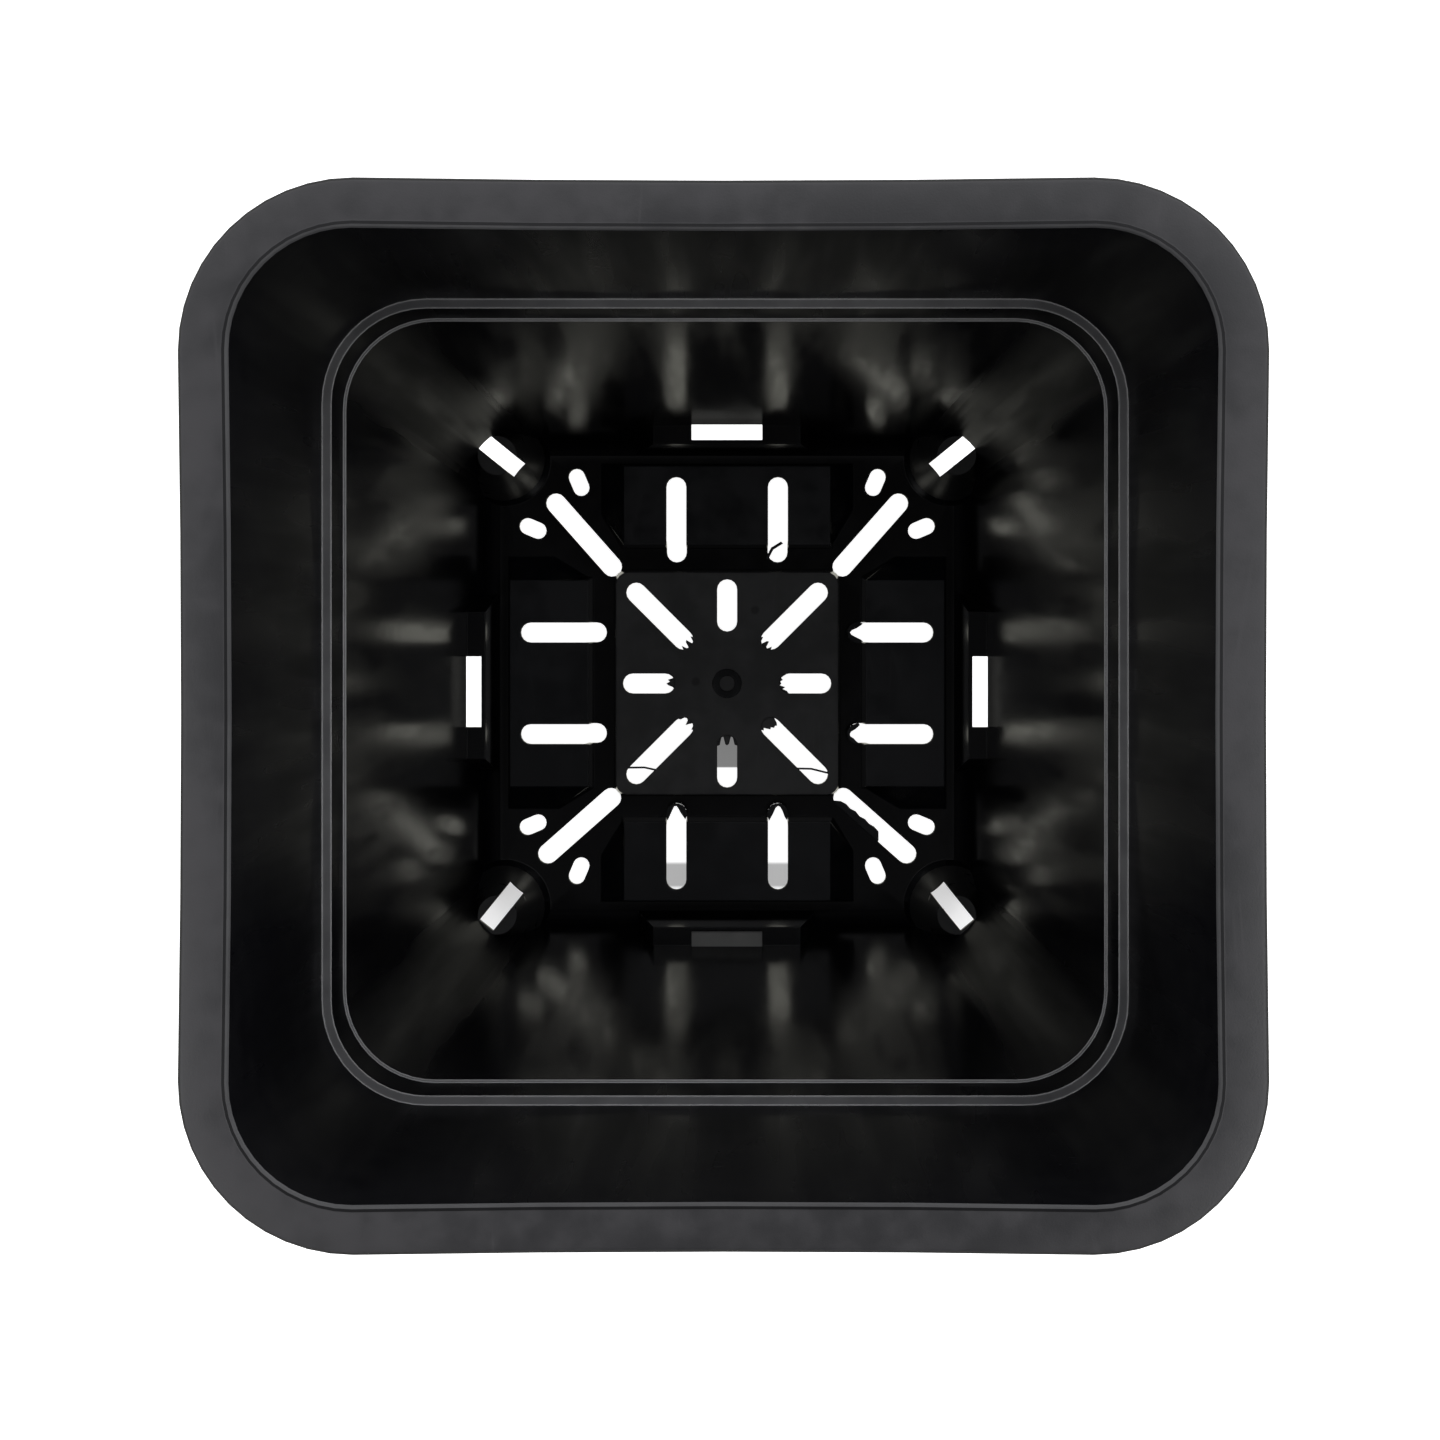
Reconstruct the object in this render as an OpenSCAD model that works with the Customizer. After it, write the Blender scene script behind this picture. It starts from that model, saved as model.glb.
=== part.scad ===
// Square nursery pot, injection moulded in one piece from soft black plastic.
// The wall is a section lofted round a rounded square: foot, drafted wall, double step, collar and lip.
// The floor carries a raised centre plate, four raised pads, four drain arches and four corner arches,
// all of one skin thickness, so that each of them is hollow from below.

/* [Rim] */
// Outer width of the square rim
rim_w = 200; // [185:1:230]
// Outer corner radius of the rim
rim_corner_r = 32; // [28:1:38]
// Width of the lip, from its outer edge to the mouth
lip_w = 9.6; // [8:0.2:12]
// Thickness of the lip
lip_t = 1.8; // [1.4:0.1:2.4]
// Height of the skirt that the lip turns down into
skirt_h = 9; // [6:0.5:14]
// Thickness of the skirt at its free edge
skirt_t = 1.3; // [1:0.1:1.6]
// Radius of the lip's outer edge
edge_r = 1.2; // [0.8:0.1:1.4]
// Radius of the bead round the mouth
bead_r = 0.8; // [0.6:0.1:1]
// How far the bead stands above the lip
bead_rise = 0.3; // [0.2:0.05:0.5]
// How far the middle of each rim side has drawn inwards in cooling
side_bow = 0.6; // [0:0.1:1.2]
// How far the front and the back of the rim have flexed in, so that the mouth is wider than deep
mouth_flex = 1.3; // [0:0.1:2]

/* [Wall] */
// Height of the pot
pot_h = 225; // [200:1:250]
// Thickness of the wall
wall = 1.6; // [1.3:0.1:2]
// Depth of the collar, from the top of the rim to the upper ledge
collar_h = 76; // [60:1:90]
// How far the collar tapers in on each side
collar_taper = 5.5; // [3:0.5:7]
// Width of the upper ledge
upper_ledge = 2.1; // [1.5:0.1:3]
// Width of the lower ledge
lower_ledge = 0.7; // [0.5:0.1:1.2]
// Height of the riser between the two ledges
step_h = 9; // [6:0.5:12]
// How far the riser tapers in
step_taper = 1.1; // [0.5:0.1:1.5]
// Inner corner radius at the step
step_corner_r = 22; // [19:1:25]

/* [Base] */
// Outer width of the base
base_w = 131; // [127:1:137]
// Inner corner radius at the base
base_corner_r = 16; // [14:1:18]
// Thickness of the floor
floor_t = 1.8; // [1.5:0.1:2.2]
// Outer radius where the wall meets the resting face
foot_r = 1.2; // [0.8:0.1:1.4]
// Inner radius where the wall meets the floor
floor_fillet = 4; // [2.6:0.2:4.4]
// Horizontal thickness of the skin on the sides of the raised parts
side_skin = 1.2; // [1:0.1:1.5]

/* [Centre plate] */
// Width of the raised centre plate
plate_w = 58; // [56:0.4:60]
// Corner radius of the centre plate
plate_corner_r = 3; // [2:0.5:5]
// Height of the centre plate above the floor
plate_rise = 8.2; // [6:0.2:9.4]
// Run of the steep sides of the plate and of the pads' inner sides
riser_run = 0.8; // [0.5:0.1:1.2]
// Distance from the pot's axis to the inner ends of the plate's slots
hub_r = 13.6; // [12:0.2:15]
// Land between the plate's edge and the ends of its straight slots
plate_land = 1.8; // [1:0.2:2.4]
// Land between the plate's corner and the ends of its diagonal slots
plate_corner_land = 3.6; // [2.4:0.2:5]

/* [Pads] */
// Width of each pad along its side of the pot
pad_w = 54; // [50:1:57]
// Width of the moat between the plate and the pads
moat_w = 7.2; // [6:0.2:8]
// Width of the valley between the pads and the wall
valley_w = 7; // [6.4:0.2:7.6]
// Height of the pads above the floor
pad_rise = 6.8; // [5:0.2:7.8]
// Run of the sloping sides that face the corner feet
slope_run = 6.3; // [4.5:0.1:7]
// Distance along the pad, from its inner edge, over which its side slope narrows to the moat
slope_lead = 9.4; // [7:0.2:12]
// Spacing of the two slots in each pad
pad_slot_gap = 26.6; // [22:0.2:30]
// Land between the pad's outer edge and the ends of its slots
pad_land = 2.9; // [1.7:0.2:3.5]

/* [Drain slots] */
// Width of the long slots
slot_w = 5.2; // [4.6:0.2:5.8]
// Clearance between the plate's foot and the slots outside it
slot_clear = 2; // [1.2:0.1:2.4]
// Length of the diagonal slot in each corner foot
foot_slot_len = 27.6; // [24:0.4:28.4]
// Angle by which the foot slots turn from the diagonals towards the back
foot_slot_turn = 3.5; // [0:0.5:4]
// Width of the two short holes beside it
foot_hole_w = 4.3; // [3.9:0.1:4.7]
// Length of the two short holes
foot_hole_len = 7.4; // [6.6:0.2:8]
// Distance of the short holes from the diagonal
foot_hole_side = 8.6; // [8.4:0.1:9]
// How far the short holes stand back from the slot's outer end
foot_hole_back = 4.2; // [3.4:0.2:6]
// How far the short holes sit towards the back
foot_hole_shift = 1.6; // [0:0.1:1.8]
// Angle between the short holes and the diagonal
foot_hole_tilt = 22; // [15:1:28]

/* [Drain arches] */
// Width of each arch at the floor, in the middle of each side
arch_w = 47; // [43:1:50]
// Width of each arch at its ledge
arch_top_w = 37.6; // [33.6:0.4:41.6]
// Height of the arch's ledge above the resting face
arch_h = 28; // [22:1:32]
// Width of the arch's ledge
arch_ledge = 4.9; // [4.5:0.1:5.2]
// Run of the riser in front of the ledge
arch_run = 1.2; // [0.8:0.1:1.4]
// How far the thickened wall behind the ledge stands in front of the wall
arch_back = 0.4; // [0.2:0.1:0.7]
// Height over which that thickening slopes back to the middle of the wall
arch_back_h = 18; // [12:1:24]
// Length of the slot in the ledge
arch_slot_len = 18; // [16:0.4:22]
// Width of the slot in the ledge
arch_slot_w = 4; // [3.4:0.1:4.1]
// How far the slots of the left and the right arch sit towards the front
arch_slot_shift = 1.6; // [0:0.1:2]
// Height of the corner arches above the resting face
corner_h = 26; // [20:1:30]
// Radius of the corner arches at their top
corner_top_r = 5; // [4.4:0.1:5.4]
// Radius of the corner arches at the floor
corner_foot_r = 12.2; // [11:0.2:12.8]
// Distance of the corner arches' axis from the wall
corner_inset = 4.4; // [3.8:0.1:4.6]
// Width of the slot in each corner arch
corner_slot_w = 4.4; // [3.8:0.2:5]
// How far that slot runs down the front of its arch
corner_slot_lead = 1.8; // [0.6:0.2:2.4]
// Angle by which it turns from the diagonal towards the front
corner_slot_turn = 6; // [0:1:8]
// How far it sits towards the back
corner_slot_shift = 0.8; // [0:0.1:1]

/* [Gate mark] */
// Outer diameter of the ring round the gate
gate_d = 7.6; // [6:0.2:9]
// Diameter of the disc inside that ring
gate_disc_d = 4; // [3:0.2:5]
// Depth of the ring
gate_depth = 0.4; // [0.2:0.1:0.6]

/* [Hidden] */

// How finely the loft follows the corners, the bowed sides and the small radii
corner_steps = 12;
side_steps = 4;
radius_steps = 3;
fillet_steps = 5;
plate_corner_steps = 4;
slot_end_steps = 8;
round_fn = 64;

// How far a cutter runs past the face that it opens
past = 1;
// Depth to which a raised part is sunk into the floor that carries it
sunk = floor_t / 2;

// Half widths of the section, from the mouth down to the floor
rim_half = rim_w / 2;
mouth_half = rim_half - lip_w;
collar_foot_half = mouth_half - collar_taper;
riser_top_half = collar_foot_half - upper_ledge;
riser_foot_half = riser_top_half - step_taper;
lower_top_half = riser_foot_half - lower_ledge;
base_half = base_w / 2;
floor_half = base_half - wall;

// Heights of the section
lip_z = pot_h - bead_rise;
upper_ledge_z = pot_h - collar_h;
lower_ledge_z = upper_ledge_z - step_h;
fillet_z = floor_t + floor_fillet;
plate_z = floor_t + plate_rise;
pad_z = floor_t + pad_rise;

// Distances from the pot's axis at which the floor's parts begin and end
plate_half = plate_w / 2;
pad_inner = plate_half + moat_w;
pad_outer = floor_half - valley_w;
pad_half = pad_w / 2;
pad_slot_start = plate_half + riser_run + slot_clear;
pad_slot_end = pad_outer - pad_land;
plate_corner = plate_half * sqrt(2) - plate_corner_r * (sqrt(2) - 1);
foot_slot_start = plate_corner + riser_run;
foot_slot_end = foot_slot_start + foot_slot_len;
arch_back_edge = wall_at(arch_h) - arch_back;
arch_front_edge = arch_back_edge - arch_ledge;
arch_slot_edge = arch_back_edge + arch_back / 2;
corner_wall = corner_reach(corner_h);
corner_axis = corner_wall - corner_inset;
corner_hollow_z = corner_h - floor_t;

// Half width of the inner face of the lower wall at a height
function wall_at(z) =
    floor_half + (lower_top_half - floor_half) * (z - fillet_z) / (lower_ledge_z - fillet_z);

// Half width of the middle of the lower wall's thickness at a height
function mid_wall(z) = wall_at(z) + wall / 2;

// Distance of the corner radii's centre from the pot's middle planes, at a height
function corner_centre(z) = lookup(z, [
    [0, floor_half - base_corner_r],
    [upper_ledge_z, collar_foot_half - step_corner_r],
    [pot_h, rim_half - rim_corner_r]
]);

// Distance along the diagonal from the pot's axis to the inner face of the wall's corner
function corner_reach(z) =
    corner_centre(z) * sqrt(2) + wall_at(z) - corner_centre(z);

// How much of the rim's bow and flex is left at a height: all at the rim, none from the step down
function rim_share(z) = lookup(z, [[upper_ledge_z, 0], [pot_h, 1]]);

function turned(p, quarter) =
    [p[0] * cos(90 * quarter) - p[1] * sin(90 * quarter), p[0] * sin(90 * quarter) + p[1] * cos(90 * quarter)];

// Points of an arc about a centre
function arc(centre, r, from, to, steps) =
    [for (i = [0 : steps]) let (a = from + (to - from) * i / steps) centre + r * [cos(a), sin(a)]];

// A rounded square whose sides may bow in, as a counterclockwise outline
function rounded_square(half, centre, bow, arc_steps, flat_steps) = [
    for (quarter = [0 : 3]) each [
        for (p = arc([centre, centre], half - centre, 0, 90, arc_steps)) turned(p, quarter),
        for (i = [1 : 1 : flat_steps - 1])
            let (u = 1 - 2 * i / flat_steps)
            turned([centre * u, half - bow * (1 - u * u)], quarter)
    ]
];

// One ring of the loft: the section's point, carried round the rounded square and flexed with the rim
function ring(half, z) = [
    for (p = rounded_square(half, corner_centre(z), side_bow * rim_share(z), corner_steps, side_steps))
        [p[0], p[1] * (1 - rim_share(z) * mouth_flex / rim_half), z]
];

// Outer side of the section, from the resting face up to the underside of the lip
function outer_section() = concat(
    arc([base_half - foot_r, foot_r], foot_r, -90, 0, radius_steps),
    [
        [lower_top_half + wall, lower_ledge_z - wall],
        [riser_foot_half + wall, lower_ledge_z - wall],
        [riser_top_half + wall, upper_ledge_z - wall],
        [collar_foot_half + wall, upper_ledge_z - wall],
        [mouth_half + wall, lip_z - lip_t]
    ]
);

// The lip, from its underside round the skirt to the bead at the mouth
function lip_section() = concat(
    [
        [rim_half - lip_t, lip_z - lip_t],
        [rim_half - skirt_t, lip_z - skirt_h],
        [rim_half, lip_z - skirt_h]
    ],
    arc([rim_half - edge_r, lip_z - edge_r], edge_r, 0, 90, radius_steps),
    [[mouth_half + bead_r + sqrt(bead_r * bead_r - (bead_r - bead_rise) * (bead_r - bead_rise)), lip_z]],
    arc([mouth_half + bead_r, pot_h - bead_r], bead_r, 90, 180, radius_steps)
);

// Inner side of the section, from the mouth down to the floor
function inner_section() = concat(
    [
        [collar_foot_half, upper_ledge_z],
        [riser_top_half, upper_ledge_z],
        [riser_foot_half, lower_ledge_z],
        [lower_top_half, lower_ledge_z]
    ],
    arc([floor_half - floor_fillet, fillet_z], floor_fillet, 0, -90, fillet_steps)
);

// Mean of a list of points
function middle(points) = [for (p = points) 1] * points / len(points);

// An outline as a ring at a height
function lifted(outline, z) = [for (p = outline) [p[0], p[1], z]];

// Closed solid through a list of rings of equal length, with a fan over the first and the last
module loft(rings) {
    count = len(rings[0]);
    last = len(rings) - 1;
    low_middle = (last + 1) * count;
    high_middle = low_middle + 1;
    polyhedron(
        points = concat([for (r = rings) each r], [middle(rings[0]), middle(rings[last])]),
        faces = concat(
            [for (i = [0 : last - 1], j = [0 : count - 1])
                [i * count + j, (i + 1) * count + j, (i + 1) * count + (j + 1) % count]],
            [for (i = [0 : last - 1], j = [0 : count - 1])
                [i * count + j, (i + 1) * count + (j + 1) % count, i * count + (j + 1) % count]],
            [for (j = [0 : count - 1]) [low_middle, j, (j + 1) % count]],
            [for (j = [0 : count - 1]) [high_middle, last * count + (j + 1) % count, last * count + j]]
        )
    );
}

// Block between two outlines with as many points, at two heights
module tapered_block(low, high, low_z, high_z) {
    loft([lifted(low, low_z), lifted(high, high_z)]);
}

// The same part four times, once on each side of the pot
module each_side() {
    for (quarter = [0 : 3])
        rotate([0, 0, 90 * quarter])
            children();
}

// The same part four times, with +X along each diagonal
module each_corner() {
    for (quarter = [0 : 3])
        rotate([0, 0, 45 + 90 * quarter])
            children();
}

// Wall, lip and lowest floor in one loft
module shell() {
    section = concat(outer_section(), lip_section(), inner_section());
    loft([for (p = section) ring(p[0], p[1])]);
}

// The pot's inside up to a height, and into its wall to a depth, which trims what is built into the corners
module inside_of_wall(from_z, depth) {
    top_z = corner_h + past;
    loft([ring(wall_at(from_z) + depth, from_z), ring(wall_at(top_z) + depth, top_z)]);
}

// Outline of the centre plate at a height, drawn in by an inset
function plate_outline(z, inset) =
    let (
        half = plate_half + riser_run * (plate_z - z) / plate_rise - inset,
        r = plate_corner_r
    )
    rounded_square(half, half - r, 0, plate_corner_steps, 1);

// Outline of a pad at a height, in the middle of the +X side
function pad_outline(z, inset) =
    let (
        down = (pad_z - z) / pad_rise,
        near = pad_inner - riser_run * down + inset,
        far = pad_outer + riser_run * down - inset,
        narrow = pad_half + riser_run * down - inset,
        wide = pad_half + slope_run * down - inset,
        knee = pad_inner + slope_lead
    )
    [[near, -narrow], [knee, -wide], [far, -wide], [far, wide], [knee, wide], [near, narrow]];

// Outline of a drain arch at a height, in the middle of the +X side, reaching out to a given distance
function arch_outline(z, inset, reach) =
    let (
        down = (arch_h - z) / (arch_h - floor_t),
        near = arch_front_edge - arch_run * down + inset,
        half = arch_top_w / 2 + (arch_w - arch_top_w) / 2 * down - inset
    )
    [[near, -half], [reach, -half], [reach, half], [near, half]];

module plate() {
    tapered_block(plate_outline(sunk, 0), plate_outline(plate_z, 0), sunk, plate_z);
}

module plate_hollow() {
    low_z = -past;
    high_z = plate_z - floor_t;
    tapered_block(
        plate_outline(low_z + floor_t, side_skin), plate_outline(plate_z, side_skin), low_z, high_z);
}

module pad() {
    tapered_block(pad_outline(sunk, 0), pad_outline(pad_z, 0), sunk, pad_z);
}

module pad_hollow() {
    low_z = -past;
    high_z = pad_z - floor_t;
    tapered_block(pad_outline(low_z + floor_t, side_skin), pad_outline(pad_z, side_skin), low_z, high_z);
}

// Drain arch with the thickened wall behind its ledge
module arch() {
    back_foot_z = arch_h - sunk;
    back_knee_z = arch_h + sunk;
    back_top_z = back_knee_z + arch_back_h;
    tapered_block(
        arch_outline(sunk, 0, mid_wall(sunk)), arch_outline(arch_h, 0, mid_wall(arch_h)), sunk, arch_h);
    rotate([90, 0, 0])
        linear_extrude(height = arch_top_w, center = true)
            polygon([
                [arch_back_edge, back_foot_z],
                [mid_wall(back_foot_z), back_foot_z],
                [mid_wall(back_top_z), back_top_z],
                [arch_back_edge, back_knee_z]
            ]);
}

// The notch under an arch, open to the outside
module arch_hollow() {
    low_z = -past;
    high_z = arch_h - floor_t;
    reach = base_half + lip_w;
    tapered_block(
        arch_outline(low_z + floor_t, side_skin, reach), arch_outline(arch_h, side_skin, reach), low_z, high_z);
}

// Round arch in a corner, with +X along the diagonal
module corner_arch() {
    translate([corner_axis, 0, sunk])
        cylinder(h = corner_h - sunk, r1 = corner_foot_r, r2 = corner_top_r, $fn = round_fn);
}

// The space under a corner arch
module corner_hollow() {
    translate([corner_axis, 0, -past])
        cylinder(
            h = corner_hollow_z + past,
            r1 = corner_foot_r - side_skin,
            r2 = corner_top_r - side_skin,
            $fn = round_fn);
}

// The notch that opens it to the outside
module corner_notch() {
    notch_w = 2 * (corner_top_r - side_skin);
    translate([corner_axis, -notch_w / 2, -past])
        cube([corner_inset + lip_w, notch_w, corner_hollow_z + past]);
}

// Cutter for a slot with round ends between two distances along +X
module slot(from, to, w, top_z) {
    r = w / 2;
    translate([0, 0, -past])
        linear_extrude(height = top_z + 2 * past)
            polygon(concat(
                arc([to - r, 0], r, -90, 90, slot_end_steps),
                arc([from + r, 0], r, 90, 270, slot_end_steps)
            ));
}

// Cutter for a slot with square ends between two distances along +X
module square_slot(from, to, w, top_z) {
    translate([from, -w / 2, -past])
        cube([to - from, w, top_z + 2 * past]);
}

module plate_slots() {
    each_side()
        slot(hub_r, plate_half - plate_land, slot_w, plate_z);
    each_corner()
        slot(hub_r, plate_corner - plate_corner_land, slot_w, plate_z);
}

module pad_slots() {
    each_side()
        for (side = [-1, 1])
            translate([0, side * pad_slot_gap / 2, 0])
                slot(pad_slot_start, pad_slot_end, slot_w, pad_z);
}

// Long slot in each corner foot, turned a little towards the back
module foot_slots() {
    for (quarter = [0 : 3])
        rotate([0, 0, 45 + 90 * quarter])
            translate([foot_slot_start, 0, 0])
                rotate([0, 0, foot_slot_turn * sign(cos(45 + 90 * quarter))])
                    slot(0, foot_slot_len, slot_w, floor_t);
}

// The short holes fanned out on either side of each foot slot
module foot_holes() {
    translate([0, foot_hole_shift, 0])
        each_corner()
            for (side = [-1, 1])
                translate([foot_slot_end - foot_hole_back, side * foot_hole_side, 0])
                    rotate([0, 0, side * foot_hole_tilt])
                        slot(-foot_hole_len / 2, foot_hole_len / 2, foot_hole_w, floor_t);
}

// Slot in each drain arch, along the wall
module arch_slots() {
    for (quarter = [0 : 3])
        rotate([0, 0, 90 * quarter])
            translate([0, -arch_slot_shift * cos(90 * quarter), 0])
                square_slot(arch_slot_edge - arch_slot_w, arch_slot_edge, arch_slot_len, arch_h);
}

// Slot in each corner arch, from the wall over its top and down its front
module corner_slots() {
    translate([0, corner_slot_shift, 0])
        for (quarter = [0 : 3])
            rotate([0, 0, 45 + 90 * quarter])
                translate([corner_axis, 0, 0])
                    rotate([0, 0, -corner_slot_turn * sign(cos(45 + 90 * quarter))])
                        square_slot(
                            -corner_top_r - corner_slot_lead, corner_inset, corner_slot_w, corner_h);
}

// Ring left round the point where the plastic entered the mould
module gate_ring() {
    translate([0, 0, plate_z - gate_depth])
        difference() {
            cylinder(h = gate_depth + past, d = gate_d, $fn = round_fn);
            translate([0, 0, -past])
                cylinder(h = gate_depth + 3 * past, d = gate_disc_d, $fn = round_fn);
        }
}

module raised_parts() {
    plate();
    each_side() {
        pad();
        arch();
    }
    intersection() {
        inside_of_wall(sunk, wall / 2);
        each_corner()
            corner_arch();
    }
}

module hollows() {
    plate_hollow();
    each_side() {
        pad_hollow();
        arch_hollow();
    }
    intersection() {
        inside_of_wall(-past, 0);
        each_corner()
            corner_hollow();
    }
    each_corner()
        corner_notch();
}

module pot() {
    color([0.07, 0.07, 0.075])
        difference() {
            union() {
                shell();
                raised_parts();
            }
            hollows();
            plate_slots();
            pad_slots();
            foot_slots();
            foot_holes();
            arch_slots();
            corner_slots();
            gate_ring();
        }
}

pot();
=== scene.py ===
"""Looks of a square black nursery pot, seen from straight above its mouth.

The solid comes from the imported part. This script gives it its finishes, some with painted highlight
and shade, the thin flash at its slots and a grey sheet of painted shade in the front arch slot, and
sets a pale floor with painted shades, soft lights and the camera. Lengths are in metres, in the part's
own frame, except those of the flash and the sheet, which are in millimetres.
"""

import logging
import math
from dataclasses import dataclass, field
from enum import Enum

import bpy
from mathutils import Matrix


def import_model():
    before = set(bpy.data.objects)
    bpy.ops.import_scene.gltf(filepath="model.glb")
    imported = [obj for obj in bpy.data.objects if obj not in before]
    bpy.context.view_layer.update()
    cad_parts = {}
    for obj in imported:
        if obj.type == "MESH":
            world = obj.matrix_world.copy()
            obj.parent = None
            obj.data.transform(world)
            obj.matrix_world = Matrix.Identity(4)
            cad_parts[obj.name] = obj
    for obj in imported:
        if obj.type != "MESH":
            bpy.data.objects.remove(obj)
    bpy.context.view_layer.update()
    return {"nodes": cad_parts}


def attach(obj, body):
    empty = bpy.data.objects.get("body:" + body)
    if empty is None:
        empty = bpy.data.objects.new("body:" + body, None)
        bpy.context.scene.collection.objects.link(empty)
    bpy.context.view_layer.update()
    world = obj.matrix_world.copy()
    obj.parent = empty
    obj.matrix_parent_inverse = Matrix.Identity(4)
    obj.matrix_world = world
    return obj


LOG = logging.getLogger("pot")
MM = 0.001

Colour = tuple[float, float, float]
Opaque = tuple[float, float, float, float]
Place = tuple[float, float, float]
Point = tuple[float, float]
Span = tuple[float, float]
Socket = bpy.types.NodeSocket
Tree = bpy.types.NodeTree


def grey(level: float) -> Opaque:
    """Makes an opaque grey of a brightness."""
    return (level, level, level, 1.0)


def opaque(colour: Colour) -> Opaque:
    """Makes a colour opaque."""
    return (*colour, 1.0)


class Zone(Enum):
    """The surfaces of the pot that differ in finish."""

    LIP = "lip"
    # The bead's paler colour is a painted highlight on its rounded top.
    BEAD_HIGHLIGHT = "bead"
    # The bead's foot is darker: a painted shade in the groove between the lip and the bead.
    BEAD_FOOT_SHADE = "bead_foot"
    EDGE = "edge"
    LEDGE = "ledge"
    COLLAR = "collar"
    WALL = "wall"
    PLATE = "plate"
    PAD = "pad"
    FLOOR = "floor"
    FOOT = "foot"
    ARCH = "arch"
    FRONT = "front"
    # A painted shade: the grey sheet in the front arch slot stands for the shade seen through that slot.
    SLOT_SHADE_SHEET = "skin"
    OUTSIDE = "outside"


@dataclass(frozen=True)
class Nodes:
    """Adds nodes to a node tree and joins them.

    Attributes:
        tree: The material's, world's or group's node tree.
    """

    tree: Tree

    def add(self, kind: str, **settings: object) -> bpy.types.Node:
        """Adds a node.

        Args:
            kind: Blender's name of the node's type.
            **settings: Properties of the node, and their values.

        Returns:
            The new node.
        """
        node = self.tree.nodes.new(kind)
        for name, value in settings.items():
            setattr(node, name, value)
        return node

    def put(self, socket: Socket, value: object) -> None:
        """Joins an output to a socket, or sets the socket's own value.

        Args:
            socket: The input that is fed.
            value: An output socket, or a number, vector or colour.
        """
        if isinstance(value, Socket):
            self.tree.links.new(value, socket)
        else:
            socket.default_value = value

    def math(self, operation: str, *values: object, clamp: bool = False) -> Socket:
        """Adds a Math node.

        Args:
            operation: Its operation, such as MULTIPLY.
            *values: Its inputs in order, each an output socket or a number.
            clamp: Whether the result is kept between 0 and 1.

        Returns:
            The node's output.
        """
        node = self.add("ShaderNodeMath", operation=operation, use_clamp=clamp)
        for socket, value in zip(node.inputs, values):
            self.put(socket, value)
        return node.outputs[0]

    def ramp(
        self, value: object, low: float, high: float, to_low: float = 0.0, to_high: float = 1.0
    ) -> Socket:
        """Maps a value smoothly from one span to another, held at both ends.

        Args:
            value: The value that is mapped.
            low: Where the first span begins.
            high: Where it ends.
            to_low: What low becomes.
            to_high: What high becomes.

        Returns:
            The mapped value.
        """
        node = self.add("ShaderNodeMapRange", interpolation_type="SMOOTHSTEP")
        given = {"Value": value, "From Min": low, "From Max": high, "To Min": to_low, "To Max": to_high}
        for name, setting in given.items():
            self.put(node.inputs[name], setting)
        return node.outputs["Result"]

    def noise(self, where: Socket, per_metre: object, detail: float = 2.0, roughness: float = 0.5) -> Socket:
        """Adds a noise texture.

        Args:
            where: The coordinates, in metres.
            per_metre: Waves of noise in a metre.
            detail: Octaves of finer noise.
            roughness: How strong the finer octaves are.

        Returns:
            The noise, from 0 to 1.
        """
        node = self.add("ShaderNodeTexNoise")
        self.put(node.inputs["Vector"], where)
        self.put(node.inputs["Scale"], per_metre)
        self.put(node.inputs["Detail"], detail)
        self.put(node.inputs["Roughness"], roughness)
        return node.outputs["Fac"]

    def colours(self, share: object, first: object, second: object) -> Socket:
        """Mixes two colours.

        Args:
            share: How much of the second colour shows, from 0 to 1.
            first: The colour at 0.
            second: The colour at 1.

        Returns:
            The mixed colour.
        """
        node = self.add("ShaderNodeMix", data_type="RGBA")
        self.put(node.inputs["Factor"], share)
        self.put(node.inputs["A"], first)
        self.put(node.inputs["B"], second)
        return node.outputs["Result"]

    def bump(self, height: object, distance: float, under: object = None) -> Socket:
        """Adds a Bump node.

        Args:
            height: The height map, from 0 to 1.
            distance: How high 1 stands, in metres.
            under: A normal that the bump is laid over, if any.

        Returns:
            The bumped normal.
        """
        node = self.add("ShaderNodeBump")
        node.inputs["Strength"].default_value = 1.0
        node.inputs["Distance"].default_value = distance
        self.put(node.inputs["Height"], height)
        if under is not None:
            self.put(node.inputs["Normal"], under)
        return node.outputs["Normal"]

    def facing(self) -> Socket:
        """Gives the surface's own normal."""
        return self.add("ShaderNodeNewGeometry").outputs["Normal"]

    def split(self, vector: Socket) -> tuple[Socket, ...]:
        """Takes a vector apart.

        Args:
            vector: The vector.

        Returns:
            Its X, Y and Z.
        """
        node = self.add("ShaderNodeSeparateXYZ")
        self.put(node.inputs["Vector"], vector)
        return tuple(node.outputs)

    def distance(self, across: object, along: object) -> Socket:
        """Computes how long the way to a point is.

        Args:
            across: The way across.
            along: The way along, square to it.

        Returns:
            The length of the straight way.
        """
        squares = self.math("MULTIPLY_ADD", across, across, self.math("MULTIPLY", along, along))
        return self.math("SQRT", squares)

    def mapping(self, where: Socket, scale: Place, turn: Place = (0.0, 0.0, 0.0)) -> Socket:
        """Stretches and turns coordinates.

        Args:
            where: The coordinates.
            scale: Their scale along X, Y and Z.
            turn: Their turn about X, Y and Z, in radians.

        Returns:
            The new coordinates.
        """
        node = self.add("ShaderNodeMapping")
        self.put(node.inputs["Vector"], where)
        node.inputs["Rotation"].default_value = turn
        node.inputs["Scale"].default_value = scale
        return node.outputs["Vector"]

    def group(self, tree: Tree, place: Socket) -> bpy.types.Node:
        """Adds a group that works on the surface's place.

        Args:
            tree: The group.
            place: The coordinates, in metres.

        Returns:
            The group's node.
        """
        node = self.add("ShaderNodeGroup", node_tree=tree)
        self.put(node.inputs["Place"], place)
        return node


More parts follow.
